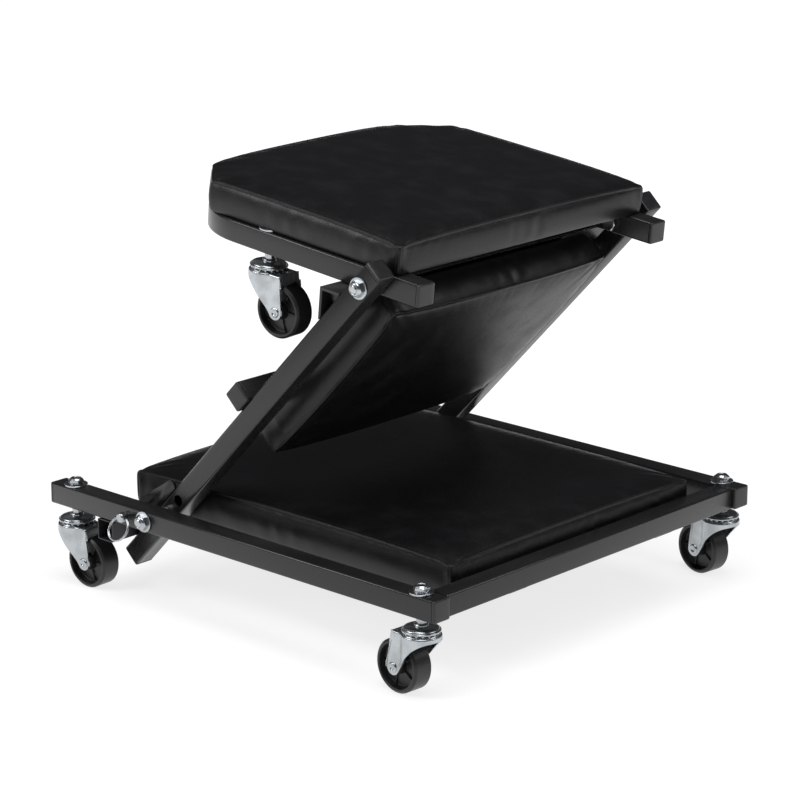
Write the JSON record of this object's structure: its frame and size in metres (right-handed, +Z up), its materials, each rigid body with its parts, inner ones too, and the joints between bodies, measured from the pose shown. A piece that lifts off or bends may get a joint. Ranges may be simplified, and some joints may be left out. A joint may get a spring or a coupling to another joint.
{
  "type": "mechanics creeper",
  "caption": "Folding mechanics creeper on swivel casters, set up as a low stool: padded base, leaning middle section and seat section that folds flat into a creeper.",
  "frame": {"origin": "centre of the bounding box on the floor, with the creeper standing folded as a stool", "axes": "+X along the base rails towards the open front end, +Y towards the left side, +Z up"},
  "size_m": [0.479, 0.457, 0.3972],
  "materials": {
    "frame_paint": "satin powder coat",
    "cap_plastic": "moulded",
    "zinc": "bright zinc plate",
    "wheel_plastic": "moulded, light gloss",
    "leatherette": "fabric-backed synthetic leather over light foam",
    "plywood": "raw plywood"
  },
  "bodies": {
    "base": {"base_board": "plywood", "base_cap_front_left": "cap_plastic", "base_cap_front_right": "cap_plastic", "base_cap_rear_left": "cap_plastic", "base_cap_rear_right": "cap_plastic", "base_front_rail": "frame_paint", "base_pad": "leatherette", "base_rail_left": "frame_paint", "base_rail_right": "frame_paint", "base_under_tube": "frame_paint", "front_left_nut": "zinc", "front_left_stem": "zinc", "front_right_nut": "zinc", "front_right_stem": "zinc", "lower_hinge_bolt_left": "zinc", "lower_hinge_bolt_right": "zinc", "pad_tab_left": "frame_paint", "pad_tab_right": "frame_paint", "rear_left_nut": "zinc", "rear_left_stem": "zinc", "rear_right_nut": "zinc", "rear_right_stem": "zinc"},
    "middle": {"cross_cap_left": "cap_plastic", "cross_cap_right": "cap_plastic", "lock_plate": "frame_paint", "middle_board": "plywood", "middle_cap_foot_left": "cap_plastic", "middle_cap_foot_right": "cap_plastic", "middle_cap_top_left": "cap_plastic", "middle_cap_top_right": "cap_plastic", "middle_cross_tube": "frame_paint", "middle_pad": "leatherette", "middle_rail_left": "frame_paint", "middle_rail_right": "frame_paint", "seat_stop_angle": "frame_paint", "upper_hinge_bolt_left": "zinc", "upper_hinge_bolt_right": "zinc"},
    "seat": {"seat_board": "plywood", "seat_cap_left": "cap_plastic", "seat_cap_right": "cap_plastic", "seat_frame": "frame_paint", "seat_left_nut": "zinc", "seat_left_stem": "zinc", "seat_pad": "leatherette", "seat_right_nut": "zinc", "seat_right_stem": "zinc"},
    "front_left_fork": {"front_left_fork": "zinc"},
    "front_left_wheel": {"front_left_wheel": "wheel_plastic"},
    "front_right_fork": {"front_right_fork": "zinc"},
    "front_right_wheel": {"front_right_wheel": "wheel_plastic"},
    "lock_pin": {"lock_pin": "zinc"},
    "pin_ring": {"pin_ring": "zinc"},
    "rear_left_fork": {"rear_left_fork": "zinc"},
    "rear_left_wheel": {"rear_left_wheel": "wheel_plastic"},
    "rear_right_fork": {"rear_right_fork": "zinc"},
    "rear_right_wheel": {"rear_right_wheel": "wheel_plastic"},
    "seat_left_fork": {"seat_left_fork": "zinc"},
    "seat_left_wheel": {"seat_left_wheel": "wheel_plastic"},
    "seat_right_fork": {"seat_right_fork": "zinc"},
    "seat_right_wheel": {"seat_right_wheel": "wheel_plastic"}
  },
  "joints": [
    {"name": "middle_fold", "type": "hinge", "parent": "base", "child": "middle", "pos_m": [-0.1127, 0.00447, 0.0824], "axis": [0, -1, 0], "range_deg": [0, 133.7]},
    {"name": "seat_fold", "type": "hinge", "parent": "middle", "child": "seat", "pos_m": [0.12911, 0.00447, 0.33544], "axis": [0, 1, 0], "range_deg": [0, 128.2]},
    {"name": "front_right_swivel", "type": "hinge", "parent": "base", "child": "front_right_fork", "pos_m": [0.2161, -0.20153, 0.0724], "axis": [0, 0, 1], "continuous": true},
    {"name": "front_right_roll", "type": "hinge", "parent": "front_right_fork", "child": "front_right_wheel", "pos_m": [0.19553, -0.20045, 0.0242], "axis": [-0.0523, -0.9986, 0], "continuous": true},
    {"name": "front_left_swivel", "type": "hinge", "parent": "base", "child": "front_left_fork", "pos_m": [0.2161, 0.21047, 0.0724], "axis": [0, 0, 1], "continuous": true},
    {"name": "front_left_roll", "type": "hinge", "parent": "front_left_fork", "child": "front_left_wheel", "pos_m": [0.19561, 0.21263, 0.0242], "axis": [-0.1045, -0.9945, 0], "continuous": true},
    {"name": "rear_right_swivel", "type": "hinge", "parent": "base", "child": "rear_right_fork", "pos_m": [-0.2147, -0.20153, 0.0724], "axis": [0, 0, 1], "continuous": true},
    {"name": "rear_right_roll", "type": "hinge", "parent": "rear_right_fork", "child": "rear_right_wheel", "pos_m": [-0.19411, -0.20081, 0.0242], "axis": [-0.0349, 0.9994, 0], "continuous": true},
    {"name": "rear_left_swivel", "type": "hinge", "parent": "base", "child": "rear_left_fork", "pos_m": [-0.2147, 0.21047, 0.0724], "axis": [0, 0, 1], "continuous": true},
    {"name": "rear_left_roll", "type": "hinge", "parent": "rear_left_fork", "child": "rear_left_wheel", "pos_m": [-0.1943, 0.21334, 0.0242], "axis": [-0.1392, 0.9903, 0], "continuous": true},
    {"name": "seat_right_swivel", "type": "hinge", "parent": "seat", "child": "seat_right_fork", "pos_m": [-0.00921, -0.15052, 0.33871], "axis": [0.0958, 0, 0.9954], "continuous": true},
    {"name": "seat_right_roll", "type": "hinge", "parent": "seat_right_fork", "child": "seat_right_wheel", "pos_m": [0.00662, -0.14909, 0.28876], "axis": [-0.0694, 0.9976, 0.0067], "continuous": true},
    {"name": "seat_left_swivel", "type": "hinge", "parent": "seat", "child": "seat_left_fork", "pos_m": [-0.00921, 0.15948, 0.33871], "axis": [0.0958, 0, 0.9954], "continuous": true},
    {"name": "seat_left_roll", "type": "hinge", "parent": "seat_left_fork", "child": "seat_left_wheel", "pos_m": [0.00656, 0.15732, 0.28877], "axis": [0.104, 0.9945, -0.01], "continuous": true},
    {"name": "lock_pin_pull", "type": "slide", "parent": "base", "child": "lock_pin", "axis": [0, -1, 0], "range_m": [0, 0.036]},
    {"name": "pin_ring_swing", "type": "hinge", "parent": "lock_pin", "child": "pin_ring", "pos_m": [-0.136, -0.21602, 0.0824], "axis": [1, 0, 0], "range_deg": [-120, 30]}
  ]
}
